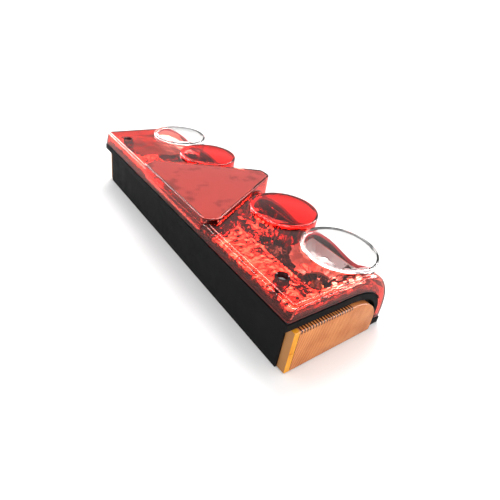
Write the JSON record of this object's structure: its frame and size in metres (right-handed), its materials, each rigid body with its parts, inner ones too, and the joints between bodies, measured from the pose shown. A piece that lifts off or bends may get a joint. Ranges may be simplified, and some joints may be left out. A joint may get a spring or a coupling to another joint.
{
  "type": "trailer tail light",
  "caption": "Long combination rear lamp for a trailer: red lens with a triangular reflex plate, round clear and red windows, amber end plates and a black housing.",
  "frame": {"origin": "under the centre of the lamp's box, on the plane of its back faces, which it lies on", "axes": "+X along the lamp towards one end plate, +Y from the lower long side, with the two cover screws, to the upper, rounded side, +Z out of the back towards the front of the lens"},
  "size_m": [0.407, 0.137, 0.0805],
  "materials": {
    "black_plastic": "satin moulded black",
    "red_lens": "polished transparent red acrylic",
    "clear_lens": "polished clear acrylic",
    "reflex_red": "red acrylic over a fine reflex prism pattern",
    "amber_lens": "amber acrylic with fine reflex ribs",
    "chrome": "metallised plastic",
    "rubber": "matte",
    "bulb_glass": "clear blown glass",
    "brass": "nickel-free brass, lightly dulled",
    "steel": "bright zinc plate"
  },
  "bodies": {
    "housing": {"rear_housing": "black_plastic", "lens_gasket": "rubber", "side_lens_left": "amber_lens", "side_lens_right": "amber_lens", "marker_bulb_left": "bulb_glass", "marker_bulb_right": "bulb_glass", "marker_holder_left": "black_plastic", "marker_holder_right": "black_plastic", "reflector_left": "chrome", "reflector_right": "chrome", "mounting_insert_left": "steel", "mounting_insert_right": "steel", "cable_grommet_left": "rubber", "cable_grommet_right": "rubber", "feed_strip_left_inner": "brass", "feed_strip_left_outer": "brass", "feed_strip_right_inner": "brass", "feed_strip_right_outer": "brass", "bulb_socket_left_outer": "steel", "bulb_socket_left_inner": "steel", "bulb_socket_right_inner": "steel", "bulb_socket_right_outer": "steel", "contact_spring_left_outer": "brass", "contact_spring_left_inner": "brass", "contact_spring_right_inner": "brass", "contact_spring_right_outer": "brass", "ground_strip": "brass", "connector_shell": "black_plastic", "connector_seal": "rubber", "connector_pin_1": "brass", "connector_pin_2": "brass", "connector_pin_3": "brass", "connector_pin_4": "brass", "connector_pin_5": "brass", "vent_cap": "black_plastic"},
    "lens_cover": {"lens": "red_lens", "lens_cap_left_outer": "clear_lens", "lens_cap_left_inner": "red_lens", "lens_cap_right_inner": "red_lens", "lens_cap_right_outer": "clear_lens", "triangle_cap": "reflex_red", "triangle_reflex_plate": "reflex_red", "screw_seal_left": "rubber", "screw_seal_right": "rubber"},
    "screw_left": {"cover_screw_left": "steel"},
    "screw_right": {"cover_screw_right": "steel"},
    "bulb_left_outer": {"bulb_base_left_outer": "brass", "bulb_glass_left_outer": "bulb_glass", "bulb_filament_left_outer": "steel"},
    "bulb_left_inner": {"bulb_base_left_inner": "brass", "bulb_glass_left_inner": "bulb_glass", "bulb_filament_left_inner": "steel"},
    "bulb_right_inner": {"bulb_base_right_inner": "brass", "bulb_glass_right_inner": "bulb_glass", "bulb_filament_right_inner": "steel"},
    "bulb_right_outer": {"bulb_base_right_outer": "brass", "bulb_glass_right_outer": "bulb_glass", "bulb_filament_right_outer": "steel"}
  },
  "joints": [
    {"name": "lens_cover_lift", "type": "slide", "parent": "housing", "child": "lens_cover", "axis": [0, 0, 1], "range_m": [0, 0.08]},
    {"name": "screw_left_back_out", "type": "slide", "parent": "lens_cover", "child": "screw_left", "axis": [0, 0, 1], "range_m": [0, 0.025]},
    {"name": "screw_right_back_out", "type": "slide", "parent": "lens_cover", "child": "screw_right", "axis": [0, 0, 1], "range_m": [0, 0.025]},
    {"name": "bulb_left_outer_twist", "type": "hinge", "parent": "housing", "child": "bulb_left_outer", "pos_m": [-0.152, 0.0195, 0.015], "axis": [0, 0, 1], "range_deg": [0, 25]},
    {"name": "bulb_left_inner_twist", "type": "hinge", "parent": "housing", "child": "bulb_left_inner", "pos_m": [-0.079, 0.0195, 0.015], "axis": [0, 0, 1], "range_deg": [0, 25]},
    {"name": "bulb_right_inner_twist", "type": "hinge", "parent": "housing", "child": "bulb_right_inner", "pos_m": [0.079, 0.0195, 0.015], "axis": [0, 0, 1], "range_deg": [0, 25]},
    {"name": "bulb_right_outer_twist", "type": "hinge", "parent": "housing", "child": "bulb_right_outer", "pos_m": [0.152, 0.0195, 0.015], "axis": [0, 0, 1], "range_deg": [0, 25]}
  ]
}
